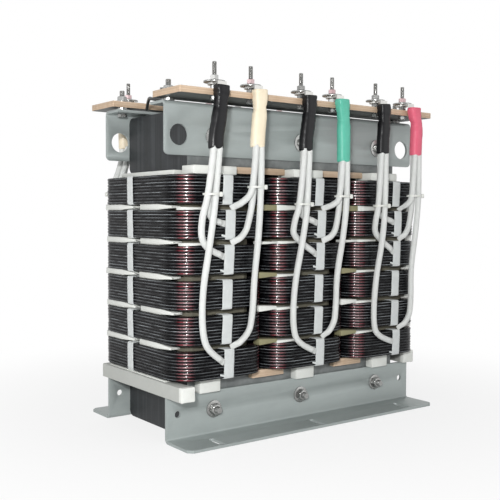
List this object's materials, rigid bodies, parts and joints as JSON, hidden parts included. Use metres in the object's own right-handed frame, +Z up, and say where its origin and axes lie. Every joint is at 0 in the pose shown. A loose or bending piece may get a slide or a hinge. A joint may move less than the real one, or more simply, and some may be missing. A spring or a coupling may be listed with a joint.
{
  "type": "dry type transformer",
  "caption": "Open three-limb dry type transformer: laminated core, disc windings, angle clamps with slotted feet, two terminal boards with studs and sleeved leads.",
  "frame": {"origin": "on the floor, midway between the four ends of the feet", "axes": "+X along the three limbs, -Y the front with the numbered side of the terminals, +Z up"},
  "size_m": [0.612, 0.37, 0.657],
  "materials": {
    "coil_wire": "dark varnished flat wire",
    "core_steel": "dark lacquer over stacked laminations",
    "fastener_steel": "bright zinc",
    "insulating_paper": "wrapped insulating paper",
    "lead_sleeving": "white braided sleeving",
    "nylon_tie": "natural nylon",
    "olive_laminate": "olive glass laminate",
    "phenolic_board": "tan laminate with cut edges",
    "sleeve_black": "shrunk sleeve",
    "sleeve_cream": "shrunk sleeve",
    "sleeve_green": "shrunk sleeve",
    "sleeve_red": "shrunk sleeve",
    "strap_cover": "black insulation",
    "tinned_copper": "tinned",
    "white_laminate": "off-white moulded laminate",
    "woven_tape": "plain woven glass tape",
    "zinc_plate": "satin zinc plating"
  },
  "bodies": {
    "root": {"barrier_tube_centre": "insulating_paper", "barrier_tube_left": "insulating_paper", "barrier_tube_right": "insulating_paper", "binding_tapes": "woven_tape", "board_bolts": "fastener_steel", "board_nuts": "fastener_steel", "board_spacers": "fastener_steel", "bottom_clamp_back": "zinc_plate", "bottom_clamp_front": "zinc_plate", "cable_lugs": "tinned_copper", "cable_ties": "nylon_tie", "core_limb_centre": "core_steel", "core_limb_left": "core_steel", "core_limb_right": "core_steel", "core_lower_yoke": "core_steel", "core_upper_yoke": "core_steel", "disc_coil_centre_1": "coil_wire", "disc_coil_centre_2": "coil_wire", "disc_coil_centre_3": "coil_wire", "disc_coil_centre_4": "coil_wire", "disc_coil_centre_5": "coil_wire", "disc_coil_centre_6": "coil_wire", "disc_coil_left_1": "coil_wire", "disc_coil_left_2": "coil_wire", "disc_coil_left_3": "coil_wire", "disc_coil_left_4": "coil_wire", "disc_coil_left_5": "coil_wire", "disc_coil_left_6": "coil_wire", "disc_coil_right_1": "coil_wire", "disc_coil_right_2": "coil_wire", "disc_coil_right_3": "coil_wire", "disc_coil_right_4": "coil_wire", "disc_coil_right_5": "coil_wire", "disc_coil_right_6": "coil_wire", "disc_spacers_olive": "olive_laminate", "disc_spacers_white": "white_laminate", "earth_strap": "strap_cover", "inner_winding_centre": "insulating_paper", "inner_winding_left": "insulating_paper", "inner_winding_right": "insulating_paper", "leads_back": "lead_sleeving", "leads_front": "lead_sleeving", "lower_end_blocks": "white_laminate", "phase_boards": "phenolic_board", "sleeves_black": "sleeve_black", "sleeves_cream": "sleeve_cream", "sleeves_green": "sleeve_green", "sleeves_red": "sleeve_red", "support_rails": "white_laminate", "terminal_board_back": "phenolic_board", "terminal_board_front": "phenolic_board", "terminal_nuts": "fastener_steel", "terminal_studs": "fastener_steel", "terminal_washers": "fastener_steel", "top_clamp_back": "zinc_plate", "top_clamp_front": "zinc_plate", "upper_end_blocks": "white_laminate", "yoke_bolts": "fastener_steel", "yoke_nuts": "fastener_steel", "yoke_washers": "fastener_steel"}
  },
  "joints": []
}
